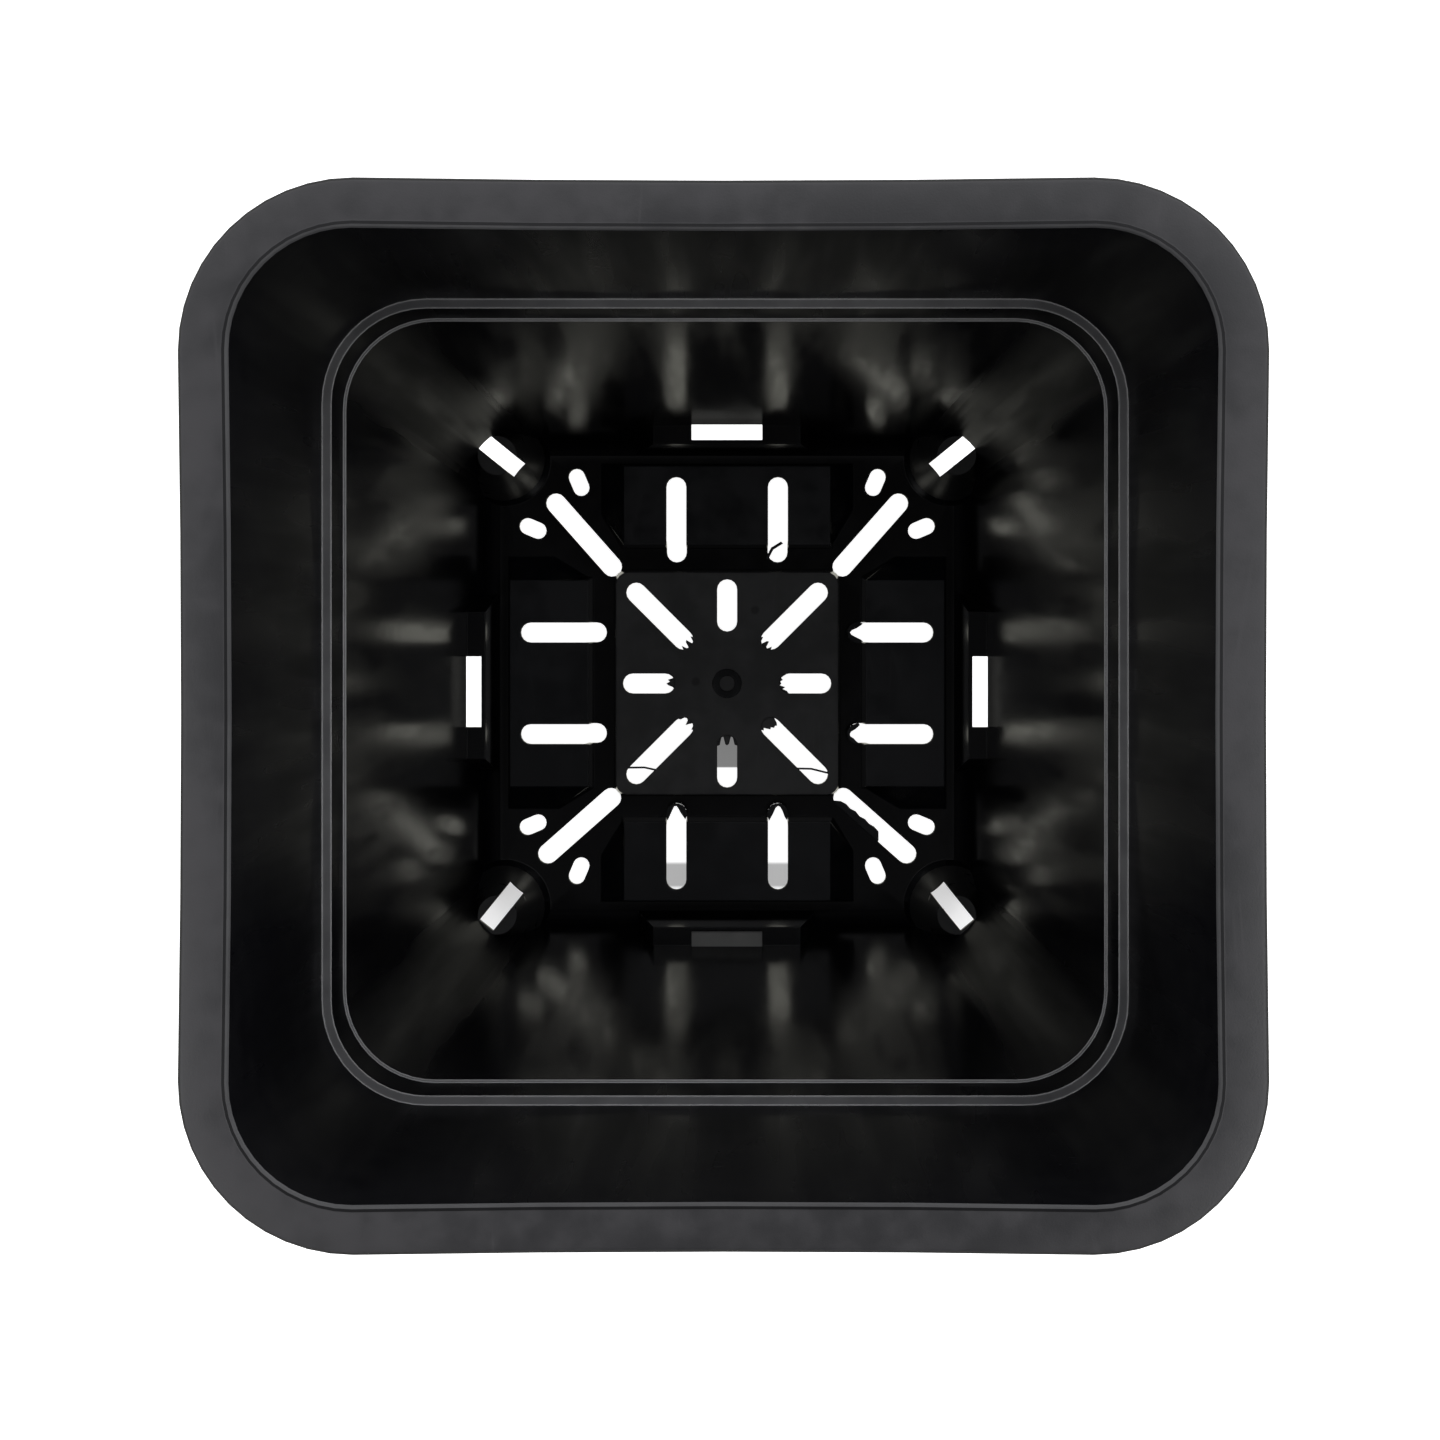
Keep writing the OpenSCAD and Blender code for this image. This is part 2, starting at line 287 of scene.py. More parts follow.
def new_group(
    name: str, inputs: dict[str, float], outputs: list[str]
) -> tuple[Nodes, bpy.types.Node, bpy.types.Node]:
    """Starts a shader node group that works on the surface's place.

    Args:
        name: The group's name.
        inputs: Its number inputs and their defaults.
        outputs: Its number outputs.

    Returns:
        The group's nodes, its input node and its output node.
    """
    tree = bpy.data.node_groups.new(name, "ShaderNodeTree")
    tree.interface.new_socket("Place", in_out="INPUT", socket_type="NodeSocketVector")
    for socket, value in inputs.items():
        given = tree.interface.new_socket(socket, in_out="INPUT", socket_type="NodeSocketFloat")
        given.default_value = value
    for socket in outputs:
        tree.interface.new_socket(socket, in_out="OUTPUT", socket_type="NodeSocketFloat")
    nodes = Nodes(tree)
    return nodes, nodes.add("NodeGroupInput"), nodes.add("NodeGroupOutput")


@dataclass(frozen=True)
class Scuffs:
    """Hairline scratches that lie in patches.

    Attributes:
        per_metre: Cells in a metre, whose borders are the scratches.
        coverage: Strength of the scratches where a finish states none.
        sets: Turn in radians and stretch of each set of scratches.
        turns: The turn about X, Y and Z, as shares of a set's turn.
        thin: Distance from a cell's border at which a scratch ends, in cells.
        patch: Waves in a metre of the patches, and how many more for each radian of turn.
        patch_span: Values of the patches' noise where scratches begin and where they are full.
    """

    per_metre: float = 60.0
    coverage: float = 0.5
    sets: tuple[Point, ...] = ((0.35, 0.06), (1.25, 0.05), (2.3, 0.08))
    turns: Place = (1.0, 0.7, 1.3)
    thin: float = 0.012
    patch: Span = (31.0, 9.0)
    patch_span: Span = (0.56, 0.7)

    def build(self) -> Tree:
        """Builds the group.

        Returns:
            A group that puts out a mask of scratches.
        """
        inputs = {"Per metre": self.per_metre, "Coverage": self.coverage}
        nodes, given, out = new_group("scuffs", inputs, ["Scratches"])
        place = given.outputs["Place"]
        total = 0.0
        for turn, stretch in self.sets:
            turned = tuple(turn * share for share in self.turns)
            lines = nodes.add("ShaderNodeTexVoronoi", feature="DISTANCE_TO_EDGE")
            nodes.put(lines.inputs["Vector"], nodes.mapping(place, (1.0, stretch, 1.0), turned))
            nodes.put(lines.inputs["Scale"], given.outputs["Per metre"])
            thin = nodes.ramp(lines.outputs["Distance"], 0.0, self.thin, 1.0, 0.0)
            noise = nodes.noise(place, self.patch[0] + self.patch[1] * turn, 1.0)
            patch = nodes.ramp(noise, *self.patch_span)
            total = nodes.math("ADD", total, nodes.math("MULTIPLY", thin, patch))
        mask = nodes.math("MULTIPLY", total, given.outputs["Coverage"], clamp=True)
        nodes.put(out.inputs["Scratches"], mask)
        return nodes.tree


@dataclass(frozen=True)
class Clouds:
    """The cloudy differences that a moulded skin shows.

    Attributes:
        grain: Waves in a metre of the fine grain.
        drawn: Waves in a metre of the marks drawn out along the pot's axis.
        stretch: Scale of those marks along the axis.
        broad: Waves in a metre of the broad clouds.
        middle: Waves in a metre of the middling clouds.
        broad_share: Share of the broad clouds.
        middle_share: Share of the middling clouds.
        octaves: Octaves of finer noise in the clouds.
        grain_rough: How strong the finer octaves of the grain are.
    """

    grain: float = 2600.0
    drawn: float = 120.0
    stretch: float = 0.07
    broad: float = 24.0
    middle: float = 170.0
    broad_share: float = 0.6
    middle_share: float = 0.4
    octaves: float = 3.0
    grain_rough: float = 0.6

    def build(self) -> Tree:
        """Builds the group.

        Returns:
            A group that puts out clouds, grain and drawn marks, each about 0.5 in the middle.
        """
        inputs = {"Grain per metre": self.grain, "Drawn per metre": self.drawn}
        nodes, given, out = new_group("clouds", inputs, ["Clouds", "Grain", "Drawn"])
        place = given.outputs["Place"]
        broad = nodes.noise(place, self.broad, self.octaves)
        middle = nodes.math("MULTIPLY", nodes.noise(place, self.middle, self.octaves), self.middle_share)
        nodes.put(out.inputs["Clouds"], nodes.math("MULTIPLY_ADD", broad, self.broad_share, middle))
        grain = nodes.noise(place, given.outputs["Grain per metre"], roughness=self.grain_rough)
        nodes.put(out.inputs["Grain"], grain)
        drawn = nodes.mapping(place, (1.0, 1.0, self.stretch))
        nodes.put(out.inputs["Drawn"], nodes.noise(drawn, given.outputs["Drawn per metre"]))
        return nodes.tree


@dataclass(frozen=True)
class PlasticFinish:
    """A finish of the black plastic.

    Attributes:
        zone: The surface that has it.
        dark: The plastic's colour where it is darkest.
        pale: Its colour where it is palest.
        rough: Roughness where the skin is smoothest and where it is dullest.
        grain_height: Depth of the fine grain.
        wave_height: Depth of the broad waves in the skin.
        drawn_height: Depth of the marks that run along the pot's axis.
        scratches: How strongly the scratches show.
        edge_r: Radius to which sharp edges look rounded.
        painted_edge_highlight: Strength of the painted highlight along sharp edges, where the colour turns
            paler.
        specular: Strength of the mirroring, where 0.5 is that of plain plastic.
        lean: How far the shading leans upwards, as a share of the normal.
        corner_dull: Roughness that is added where the surface faces along a diagonal.
        spots: Middles of small dark marks, seen from above.
        spot_r: Radius of those marks.
        spot_core: Share of that radius over which a mark is darkest.
        spot_cover: How much of the plastic's colour a mark covers there.
        spot_level: Brightness of the marks.
        cloud_span: Values of the clouds where the plastic is darkest and palest.
        drawn_span: Values of the drawn marks where the skin is smoothest and dullest.
        patch_share: Share of the roughness that the patches take up beside the scratches.
        edge_span: Cosines of the edge's turn where the painted edge highlight is strongest and where it is
            gone.
        slant_full: Product of the normal's X and Y at which a face counts as fully diagonal.
        ior: The plastic's index of refraction.
    """

    zone: Zone
    dark: Colour
    pale: Colour
    rough: Span
    grain_height: float = 0.0
    wave_height: float = 0.0
    drawn_height: float = 0.0
    scratches: float = 0.25
    edge_r: float = 0.0005
    painted_edge_highlight: float = 0.0
    specular: float = 0.5
    lean: float = 0.0
    corner_dull: float = 0.0
    spots: tuple[Point, ...] = ()
    spot_r: float = 0.0015
    spot_core: float = 0.4
    spot_cover: float = 0.8
    spot_level: float = 0.001
    cloud_span: Span = (0.36, 0.64)
    drawn_span: Span = (0.34, 0.66)
    patch_share: float = 0.8
    edge_span: Span = (0.75, 0.995)
    slant_full: float = 0.35
    ior: float = 1.49

    def stained(self, nodes: Nodes, place: Socket, colour: Socket) -> Socket:
        """Darkens the colour at the small dark marks.

        Args:
            nodes: The material's nodes.
            place: The coordinates, in metres.
            colour: The colour without the marks.

        Returns:
            The colour with them.
        """
        for x, y in self.spots:
            place_x, place_y, _ = nodes.split(place)
            across = nodes.math("SUBTRACT", place_x, x)
            along = nodes.math("SUBTRACT", place_y, y)
            core = self.spot_core * self.spot_r
            mark = nodes.ramp(nodes.distance(across, along), core, self.spot_r, self.spot_cover, 0.0)
            colour = nodes.colours(mark, colour, grey(self.spot_level))
        return colour

    def paint_edge_highlight(self, nodes: Nodes, edge: Socket, colour: Socket) -> Socket:
        """Paints a highlight along the sharp edges by making the colour paler there.

        Args:
            nodes: The material's nodes.
            edge: The normal of the rounded edges.
            colour: The colour without the painted highlight.

        Returns:
            The colour with the painted highlight.
        """
        turned = nodes.add("ShaderNodeVectorMath", operation="DOT_PRODUCT")
        nodes.put(turned.inputs[0], edge)
        nodes.put(turned.inputs[1], nodes.facing())
        bright = nodes.ramp(turned.outputs["Value"], *self.edge_span, self.painted_edge_highlight, 0.0)
        return nodes.colours(bright, colour, grey(1.0))

    def dulled(self, nodes: Nodes, patchy: Socket, scratched: Socket) -> Socket:
        """Computes the roughness.

        Args:
            nodes: The material's nodes.
            patchy: Where the skin is dull, from 0 to 1.
            scratched: The mask of scratches.

        Returns:
            The roughness.
        """
        dull = nodes.math("ADD", nodes.math("MULTIPLY", patchy, self.patch_share), scratched, clamp=True)
        roughness = nodes.ramp(dull, 0.0, 1.0, *self.rough)
        if self.corner_dull > 0.0:
            facing_x, facing_y, _ = nodes.split(nodes.facing())
            slant = nodes.math("ABSOLUTE", nodes.math("MULTIPLY", facing_x, facing_y))
            added = nodes.ramp(slant, 0.0, self.slant_full, 0.0, self.corner_dull)
            roughness = nodes.math("ADD", roughness, added)
        return roughness

    def leaning(self, nodes: Nodes) -> Socket:
        """Leans the surface's normal upwards.

        Args:
            nodes: The material's nodes.

        Returns:
            The leaning normal.
        """
        upward = nodes.add("ShaderNodeVectorMath", operation="ADD")
        nodes.put(upward.inputs[0], nodes.facing())
        upward.inputs[1].default_value = (0.0, 0.0, self.lean)
        unit = nodes.add("ShaderNodeVectorMath", operation="NORMALIZE")
        nodes.put(unit.inputs[0], upward.outputs["Vector"])
        return unit.outputs["Vector"]

    def build(self, scuffs: Tree, clouds: Tree) -> bpy.types.Material:
        """Makes the material.

        Args:
            scuffs: The group that scatters scratches.
            clouds: The group for clouds, grain and drawn marks.

        Returns:
            The material.
        """
        material = bpy.data.materials.new(f"pot_plastic_{self.zone.value}")
        material.use_nodes = True
        nodes = Nodes(material.node_tree)
        shader = material.node_tree.nodes["Principled BSDF"]
        place = nodes.add("ShaderNodeTexCoord").outputs["Object"]
        skin = nodes.group(clouds, place)
        marks = nodes.group(scuffs, place)
        marks.inputs["Coverage"].default_value = self.scratches
        scratched = marks.outputs["Scratches"]
        share = nodes.ramp(skin.outputs["Clouds"], *self.cloud_span)
        worn = nodes.math("ADD", share, scratched, clamp=True)
        colour = nodes.colours(worn, opaque(self.dark), opaque(self.pale))
        normal = None
        if self.edge_r > 0.0:
            edge = nodes.add("ShaderNodeBevel", samples=4)
            edge.inputs["Radius"].default_value = self.edge_r
            normal = edge.outputs["Normal"]
        # Painted highlight: the colour turns paler along sharp edges.
        if self.painted_edge_highlight > 0.0:
            colour = self.paint_edge_highlight(nodes, normal, colour)
        nodes.put(shader.inputs["Base Color"], self.stained(nodes, place, colour))
        patchy = share
        if self.drawn_height > 0.0:
            patchy = nodes.ramp(skin.outputs["Drawn"], *self.drawn_span)
        nodes.put(shader.inputs["Roughness"], self.dulled(nodes, patchy, scratched))
        if self.lean > 0.0:
            normal = self.leaning(nodes)
        reliefs = {"Clouds": self.wave_height, "Drawn": self.drawn_height, "Grain": self.grain_height}
        for relief, height in reliefs.items():
            if height > 0.0:
                normal = nodes.bump(skin.outputs[relief], height, normal)
        if normal is not None:
            nodes.put(shader.inputs["Normal"], normal)
        shader.inputs["IOR"].default_value = self.ior
        shader.inputs["Specular IOR Level"].default_value = self.specular
        return material


@dataclass
class Pot:
    """The moulded pot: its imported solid, dressed zone by zone.

    A face's rise is the Z of its normal, which is 1 where it looks straight up.

    Attributes:
        lip_z: Height above which a face belongs to the lip, its bead or its edge.
        skirt_z: Height above which an outer face belongs to the lip's edge.
        rim_centre: Distance of the rim corners' centres from the middle planes.
        bead_half: Half width of the square that parts the bead from the outer edge.
        ledge_z: Lowest and highest level of the stacking ledges.
        arch_z: Height below which the floor and its arches lie.
        arch_top_z: Height just under the arches' tops.
        foot_z: Height up to which the wall's foot is rounded.
        pad_z: Height just under the pads' tops.
        plate_z: Height just under the centre plate's top.
        wall_half: Distance from the middle planes beyond which the wall's foot begins.
        outer_half: Distance from them beyond which a face is among the arches.
        centre_half: Distance from them within which a face can be on the centre plate.
        wall_rise: Least and greatest rise of the lower wall.
        smooth_angle: Angle between faces up to which the shading runs on smoothly, in degrees.
        finishes: One finish for each zone.
        flat_rise: Rise above which a face near the rim is the lip's flat top.
        level_rise: Rise above which a face counts as level.
        steep_rise: Rise below which a face counts as steep.
        floor_rise: Rise above which a face belongs to the top of a raised part or to the floor.
        foot_rise: Least and greatest rise of the wall's rounded foot.
        foot_level: Rise above which such a face away from the wall belongs to the foot too.
        slope_rise: Least and greatest rise of the arches' sloping sides.
        under_rise: Rise below which a face looks down.
        weld: Distance up to which points are joined for the shading.
        materials: The material of each zone, once the pot is dressed.
    """

    lip_z: float
    skirt_z: float
    rim_centre: float
    bead_half: float
    ledge_z: Span
    arch_z: float
    arch_top_z: float
    foot_z: float
    pad_z: float
    plate_z: float
    wall_half: float
    outer_half: float
    centre_half: float
    wall_rise: Span
    smooth_angle: float
    finishes: tuple[PlasticFinish, ...]
    flat_rise: float = 0.98
    level_rise: float = 0.8
    steep_rise: float = 0.5
    floor_rise: float = 0.9
    foot_rise: Span = (0.1, 0.999)
    foot_level: float = 0.75
    slope_rise: Span = (0.22, 0.4)
    under_rise: float = -0.02
    weld: float = 0.000002
    materials: dict[Zone, bpy.types.Material] = field(default_factory=dict)

    def lip_zone(self, x: float, y: float, rise: float, outward: bool) -> Zone:
        """Tells which part of the lip a face belongs to.

        Args:
            x: The face's middle, across.
            y: The face's middle, along.
            rise: How far its normal looks up.
            outward: Whether it looks away from the pot's axis.

        Returns:
            Its zone.
        """
        if rise > self.flat_rise:
            return Zone.LIP
        corner = math.hypot(max(abs(x) - self.rim_centre, 0.0), max(abs(y) - self.rim_centre, 0.0))
        if self.rim_centre + corner > self.bead_half:
            return Zone.LIP if rise > self.level_rise else Zone.EDGE
        if outward:
            return Zone.BEAD_FOOT_SHADE
        return Zone.BEAD_HIGHLIGHT if rise > self.steep_rise else Zone.COLLAR

    def low_zone(self, place: Place, rise: float, outward: bool) -> Zone:
        """Tells which part of the floor an inner face near it belongs to.

        Args:
            place: The face's middle.
            rise: How far its normal looks up.
            outward: Whether it looks away from the pot's axis.

        Returns:
            Its zone.
        """
        x, y, z = place
        reach = max(abs(x), abs(y))
        outer = reach > self.outer_half
        if z < self.foot_z and outer and self.foot_rise[0] < rise < self.foot_rise[1]:
            return Zone.FOOT if reach > self.wall_half or rise > self.foot_level else Zone.PAD
        if rise > self.floor_rise:
            if z > self.arch_top_z:
                return Zone.ARCH if min(abs(x), abs(y)) > self.outer_half else Zone.FLOOR
            if z < self.pad_z:
                return Zone.FLOOR
            return Zone.PLATE if z > self.plate_z and reach < self.centre_half else Zone.PAD
        if self.wall_rise[0] < rise < self.wall_rise[1] and outer:
            return Zone.WALL
        if outer and rise < self.wall_rise[0] and not outward:
            return Zone.FRONT
        if rise < self.slope_rise[1]:
            return Zone.ARCH if outer and rise > self.slope_rise[0] else Zone.FLOOR
        return Zone.PAD

    def zone_of(self, face: bpy.types.MeshPolygon) -> Zone:
        """Tells which zone a face belongs to.

        Args:
            face: A face of the solid.

        Returns:
            Its zone.
        """
        x, y, z = face.center
        rise = face.normal.z
        reach = max(abs(x), abs(y))
        outward = face.normal.x * x + face.normal.y * y > 0.0
        if z > self.lip_z:
            return self.lip_zone(x, y, rise, outward)
        if outward and z > self.skirt_z and abs(rise) < self.steep_rise:
            return Zone.EDGE
        if self.ledge_z[0] < z < self.ledge_z[1] and rise > self.level_rise:
            return Zone.LEDGE
        if rise < self.under_rise or (outward and reach > self.wall_half):
            return Zone.OUTSIDE
        if z < self.arch_z:
            return self.low_zone((x, y, z), rise, outward)
        return Zone.COLLAR if z > self.ledge_z[0] else Zone.WALL

    def smooth(self, solid: bpy.types.Object) -> None:
        """Lets the shading run smoothly over the curved faces, and leaves the sharp edges sharp.

        Args:
            solid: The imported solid.
        """
        custom = solid.data.attributes.get("custom_normal")
        if custom is not None:
            solid.data.attributes.remove(custom)
        tree = bpy.data.node_groups.new("smooth_by_angle", "GeometryNodeTree")
        tree.interface.new_socket("Geometry", in_out="INPUT", socket_type="NodeSocketGeometry")
        tree.interface.new_socket("Geometry", in_out="OUTPUT", socket_type="NodeSocketGeometry")
        nodes = Nodes(tree)
        given = nodes.add("NodeGroupInput")
        result = nodes.add("NodeGroupOutput")
        weld = nodes.add("GeometryNodeMergeByDistance")
        weld.inputs["Distance"].default_value = self.weld
        nodes.put(weld.inputs["Geometry"], given.outputs["Geometry"])
        faces = nodes.add("GeometryNodeSetShadeSmooth", domain="FACE")
        nodes.put(faces.inputs["Geometry"], weld.outputs["Geometry"])
        angle = nodes.add("GeometryNodeInputMeshEdgeAngle").outputs["Unsigned Angle"]
        edges = nodes.add("GeometryNodeSetShadeSmooth", domain="EDGE")
        nodes.put(edges.inputs["Geometry"], faces.outputs["Geometry"])
        flat = nodes.math("LESS_THAN", angle, math.radians(self.smooth_angle))
        nodes.put(edges.inputs["Shade Smooth"], flat)
        nodes.put(result.inputs["Geometry"], edges.outputs["Geometry"])
        solid.modifiers.new("smooth", "NODES").node_group = tree

    def dress(self, solid: bpy.types.Object) -> None:
        """Gives each face of the solid its finish, and smooths its shading.

        Args:
            solid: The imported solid.
        """
        scuffs = Scuffs().build()
        clouds = Clouds().build()
        solid.data.materials.clear()
        order: dict[Zone, int] = {}
        for index, finish in enumerate(self.finishes):
            self.materials[finish.zone] = finish.build(scuffs, clouds)
            solid.data.materials.append(self.materials[finish.zone])
            order[finish.zone] = index
        for face in solid.data.polygons:
            face.material_index = order[self.zone_of(face)]
        self.smooth(solid)


@dataclass(frozen=True)
class Web:
    """A thin flat web of plastic left in a slot.

    Attributes:
        left: Points along its left edge, seen from above.
        right: As many points along its right edge.
        z: Height of its lower face.
    """

    left: tuple[Point, ...]
    right: tuple[Point, ...]
    z: float


@dataclass(frozen=True)
class SlotFrame:
    """Where a slot begins and how it runs.

    Attributes:
        angle: Direction from the pot's axis, in degrees.
        along: Distance of the slot's inner end from the axis.
        width: Width of the slot.
        z: Height of the webs in it.
        across: How far the slot lies to the left of that direction.
        turn: Angle by which the slot is turned about its inner end, in degrees.
        sunk: How far a web is sunk into the slot's side.
        least: Least width of a web in the slot's end.
    """

    angle: float
    along: float
    width: float
    z: float
    across: float = 0.0
    turn: float = 0.0
    sunk: float = 0.3
    least: float = 0.05

    def placed(self, points: list[Point]) -> tuple[Point, ...]:
        """Moves points from the slot to the pot.

        Args:
            points: Points along and across the slot, from its inner end.

        Returns:
            The same points in the pot's own frame.
        """
        turn = math.radians(self.turn)
        angle = math.radians(self.angle)
        moved = []
        for x, y in points:
            u = self.along + x * math.cos(turn) - y * math.sin(turn)
            v = self.across + x * math.sin(turn) + y * math.cos(turn)
            pot_x = u * math.cos(angle) - v * math.sin(angle)
            pot_y = u * math.sin(angle) + v * math.cos(angle)
            moved.append((pot_x, pot_y))
        return tuple(moved)

    def end_web(self, reach: tuple[float, ...]) -> Web:
        """Draws the web in the slot's inner end.

        Args:
            reach: How far its edge reaches into the slot at even steps across it.

        Returns:
            The web, a little sunk into the slot's sides.
        """
        outer = self.width / 2 + self.sunk
        steps = len(reach) - 1
        back = []
        edge = []
        for i, depth in enumerate(reach):
            y = outer * (1.0 - 2.0 * i / steps)
            x = self.width / 2 - math.sqrt(outer * outer - y * y)
            back.append((x, y))
            edge.append((max(depth, x + self.least), y))
        return Web(self.placed(edge), self.placed(back), self.z)

    def side_web(self, start: float, reach: tuple[float, ...], step: float) -> Web:
        """Draws a web along the slot's right side.

        Args:
            start: Where it begins along the slot.
            reach: How far it stands out from the side at even steps.
            step: Length of those steps.

        Returns:
            The web, a little sunk into that side.
        """
        side = -self.width / 2
        edge = [(start + i * step, side + depth) for i, depth in enumerate(reach)]
        back = [(x, side - self.sunk) for x, _ in edge]
        return Web(self.placed(edge), self.placed(back), self.z)


def thread(start: Point, end: Point, width: float, z: float) -> Web:
    """Draws a thin thread of plastic across a slot, bent to its left by its own width.

    Args:
        start: One end.
        end: The other end.
        width: Its width.
        z: Its height.

    Returns:
        The thread as a web.
    """
    dx, dy = end[0] - start[0], end[1] - start[1]
    length = math.hypot(dx, dy)
    side_x, side_y = -dy / length * width / 2, dx / length * width / 2
    bend = ((start[0] + end[0]) / 2 + side_x * 2, (start[1] + end[1]) / 2 + side_y * 2)
    line = (start, bend, end)
    left = tuple((x + side_x, y + side_y) for x, y in line)
    right = tuple((x - side_x, y - side_y) for x, y in line)
    return Web(left, right, z)


@dataclass(frozen=True)
class Flash:
    """The webs of flash in one group of slots, in one piece of mesh, or the grey sheet of painted shade in
    the front arch slot.

    Attributes:
        name: The piece's name.
        webs: The webs.
        thickness: Thickness of the webs, in metres.
    """

    name: str
    webs: tuple[Web, ...]
    thickness: float = 0.3 * MM

    def build(self, material: bpy.types.Material) -> bpy.types.Object:
        """Makes the mesh and lets it ride on the pot.

        Args:
            material: The plastic that it is made of.

        Returns:
            The piece.
        """
        points: list[Place] = []
        faces: list[list[int]] = []
        for web in self.webs:
            count = len(web.left)
            first = len(points)
            low = web.z * MM
            for z in (low, low + self.thickness):
                for rail in (web.left, web.right):
                    points.extend((x * MM, y * MM, z) for x, y in rail)
            low_left, low_right, top_left, top_right = (first + k * count for k in range(4))
            top = (top_right, top_left)
            bottom = (low_left, low_right)
            sides = ((top_left, low_left), (low_right, top_right))
            for i in range(count - 1):
                faces.extend([a + i, a + i + 1, b + i + 1, b + i] for a, b in (top, bottom, *sides))
            last = count - 1
            faces.append([top_left, low_left, low_right, top_right])
            faces.append([top_right + last, low_right + last, low_left + last, top_left + last])
        mesh = bpy.data.meshes.new(self.name)
        mesh.from_pydata(points, [], faces)
        mesh.materials.append(material)
        piece = bpy.data.objects.new(self.name, mesh)
        bpy.context.scene.collection.objects.link(piece)
        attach(piece, "root")
        return piece


@dataclass(frozen=True)
class Shade:
    """A painted shade: a part of the floor that shows darker through the slots.

    Attributes:
        middle: Its middle.
        half: Its half widths.
        level: Its brightness, where 1 is white.
        soft: Width over which it fades out.
    """

    middle: Point
    half: Point
    level: float
    soft: float


@dataclass(frozen=True)
class Lamp:
    """A square soft light that points at the pot's foot.

    Attributes:
        name: The light's name.
        place: Where it hangs.
        size: Its width.
        watts: Its power.
    """

    name: str
    place: Place
    size: float = 0.9
    watts: float = 6.0

    def hang(self) -> None:
        """Hangs the light."""
        light = bpy.data.lights.new(self.name, "AREA")
        light.size = self.size
        light.energy = self.watts
        lamp = bpy.data.objects.new(self.name, light)
        lamp.location = self.place
        x, y, z = self.place
        lamp.rotation_euler = (math.atan2(math.hypot(x, y), z), 0.0, math.atan2(x, -y))
        bpy.context.scene.collection.objects.link(lamp)


@dataclass(frozen=True)
class Camera:
    """The camera, which looks straight down, as the photograph was framed.

    Attributes:
        place: Where it hangs.
        lens: Its focal length, in millimetres.
        sensor: Width of its sensor, in millimetres.
        shift: How far the frame is shifted to the right and to the back, as shares of its width.
        clip: Nearest and farthest distance that it sees.
    """

    place: Place = (0.0022, 0.020, 0.725)
    lens: float = 68.44
    sensor: float = 36.0
    shift: Point = (-0.0108, -0.0785)
    clip: Span = (0.01, 50.0)

    def hang(self) -> None:
        """Hangs the camera and makes it the scene's own."""
        data = bpy.data.cameras.new("camera")
        data.sensor_width = self.sensor
        data.lens = self.lens
        data.shift_x, data.shift_y = self.shift
        data.clip_start, data.clip_end = self.clip
        camera = bpy.data.objects.new("camera", data)
        camera.location = self.place
        bpy.context.scene.collection.objects.link(camera)
        bpy.context.scene.camera = camera


